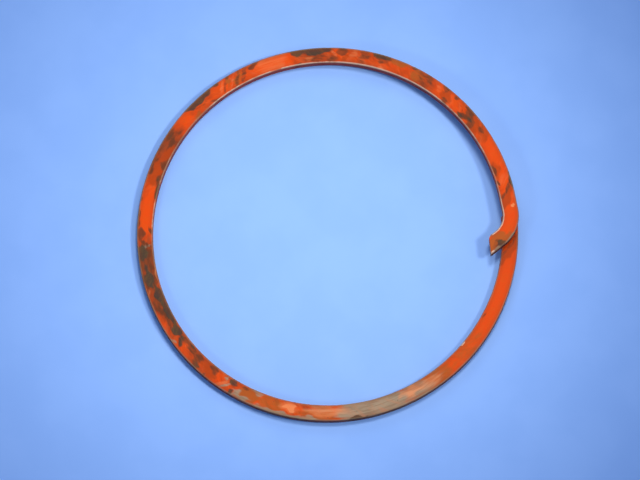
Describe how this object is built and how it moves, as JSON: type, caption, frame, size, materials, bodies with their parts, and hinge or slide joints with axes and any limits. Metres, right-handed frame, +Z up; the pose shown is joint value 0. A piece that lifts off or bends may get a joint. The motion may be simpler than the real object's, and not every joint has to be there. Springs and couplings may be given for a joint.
{
  "type": "snap ring",
  "caption": "Snap ring of flat spring wire bent once round, its ends overlapping: a plain tail lies under a raised end that turns inwards as a short hook. Worn orange paint.",
  "frame": {"origin": "centre of the ring on the plane that its flat part rests on", "axes": "+Z up along the ring's axis, +X from the centre towards the overlap and the hook, seen from above the wire climbs clockwise to the hook"},
  "size_m": [0.1, 0.1, 0.0073],
  "materials": {
    "painted_steel": "worn"
  },
  "bodies": {
    "crown": {"crown": "painted_steel"},
    "hook_arm_1": {"hook_arm_1": "painted_steel"},
    "hook_arm_2": {"hook_arm_2": "painted_steel"},
    "ramp_low": {"ramp_low": "painted_steel"},
    "ramp_mid": {"ramp_mid": "painted_steel"},
    "ramp_high": {"ramp_high": "painted_steel"},
    "hooked_end": {"hooked_end": "painted_steel"},
    "tail_arm_1": {"tail_arm_1": "painted_steel"},
    "tail_arm_2": {"tail_arm_2": "painted_steel"},
    "tail_arm_3": {"tail_arm_3": "painted_steel"},
    "tail_arm_4": {"tail_arm_4": "painted_steel"},
    "tail_arm_5": {"tail_arm_5": "painted_steel"},
    "tail_end": {"tail_end": "painted_steel"}
  },
  "joints": [
    {"name": "hook_arm_1_bend", "type": "hinge", "parent": "crown", "child": "hook_arm_1", "pos_m": [-0.04472, 0.01717, 0.0016], "axis": [0, 0, -1], "range_deg": [-0.8, 1.5], "stiffness_Nm_per_rad": 0.1},
    {"name": "hook_arm_2_bend", "type": "hinge", "parent": "hook_arm_1", "child": "hook_arm_2", "pos_m": [-0.03047, 0.03696, 0.0016], "axis": [0, 0, -1], "range_deg": [-0.8, 1.5], "stiffness_Nm_per_rad": 0.1},
    {"name": "ramp_low_bend", "type": "hinge", "parent": "hook_arm_2", "child": "ramp_low", "pos_m": [-0.00832, 0.04717, 0.0016], "axis": [0, 0, -1], "range_deg": [-0.8, 1.5], "stiffness_Nm_per_rad": 0.1},
    {"name": "ramp_mid_bend", "type": "hinge", "parent": "ramp_low", "child": "ramp_mid", "pos_m": [0.0128, 0.04616, 0.0016], "axis": [0, 0, -1], "range_deg": [-0.8, 1.5], "stiffness_Nm_per_rad": 0.1},
    {"name": "ramp_high_bend", "type": "hinge", "parent": "ramp_mid", "child": "ramp_high", "pos_m": [0.03143, 0.03615, 0.0016], "axis": [0, 0, -1], "range_deg": [-0.8, 1.5], "stiffness_Nm_per_rad": 0.1},
    {"name": "hooked_end_bend", "type": "hinge", "parent": "ramp_high", "child": "hooked_end", "pos_m": [0.04393, 0.0191, 0.0016], "axis": [0, 0, -1], "range_deg": [-0.8, 1.5], "stiffness_Nm_per_rad": 0.1},
    {"name": "tail_arm_1_bend", "type": "hinge", "parent": "crown", "child": "tail_arm_1", "pos_m": [-0.04737, -0.00708, 0.0016], "axis": [0, 0, 1], "range_deg": [-0.8, 1.5], "stiffness_Nm_per_rad": 0.1},
    {"name": "tail_arm_2_bend", "type": "hinge", "parent": "tail_arm_1", "child": "tail_arm_2", "pos_m": [-0.03775, -0.02949, 0.0016], "axis": [0, 0, 1], "range_deg": [-0.8, 1.5], "stiffness_Nm_per_rad": 0.1},
    {"name": "tail_arm_3_bend", "type": "hinge", "parent": "tail_arm_2", "child": "tail_arm_3", "pos_m": [-0.01833, -0.04425, 0.0016], "axis": [0, 0, 1], "range_deg": [-0.8, 1.5], "stiffness_Nm_per_rad": 0.1},
    {"name": "tail_arm_4_bend", "type": "hinge", "parent": "tail_arm_3", "child": "tail_arm_4", "pos_m": [0.00584, -0.04754, 0.0016], "axis": [0, 0, 1], "range_deg": [-0.8, 1.5], "stiffness_Nm_per_rad": 0.1},
    {"name": "tail_arm_5_bend", "type": "hinge", "parent": "tail_arm_4", "child": "tail_arm_5", "pos_m": [0.02849, -0.0385, 0.0016], "axis": [0, 0, 1], "range_deg": [-0.8, 1.5], "stiffness_Nm_per_rad": 0.1},
    {"name": "tail_end_bend", "type": "hinge", "parent": "tail_arm_5", "child": "tail_end", "pos_m": [0.04376, -0.01948, 0.0016], "axis": [0, 0, 1], "range_deg": [-0.8, 1.5], "stiffness_Nm_per_rad": 0.1}
  ],
  "couplings": [
    {"joint": "hook_arm_2_bend", "follows": "hook_arm_1_bend", "ratio": 1},
    {"joint": "ramp_low_bend", "follows": "hook_arm_1_bend", "ratio": 1},
    {"joint": "ramp_mid_bend", "follows": "hook_arm_1_bend", "ratio": 1},
    {"joint": "ramp_high_bend", "follows": "hook_arm_1_bend", "ratio": 1},
    {"joint": "hooked_end_bend", "follows": "hook_arm_1_bend", "ratio": 1},
    {"joint": "tail_arm_1_bend", "follows": "hook_arm_1_bend", "ratio": 1},
    {"joint": "tail_arm_2_bend", "follows": "hook_arm_1_bend", "ratio": 1},
    {"joint": "tail_arm_3_bend", "follows": "hook_arm_1_bend", "ratio": 1},
    {"joint": "tail_arm_4_bend", "follows": "hook_arm_1_bend", "ratio": 1},
    {"joint": "tail_arm_5_bend", "follows": "hook_arm_1_bend", "ratio": 1},
    {"joint": "tail_end_bend", "follows": "hook_arm_1_bend", "ratio": 1}
  ]
}
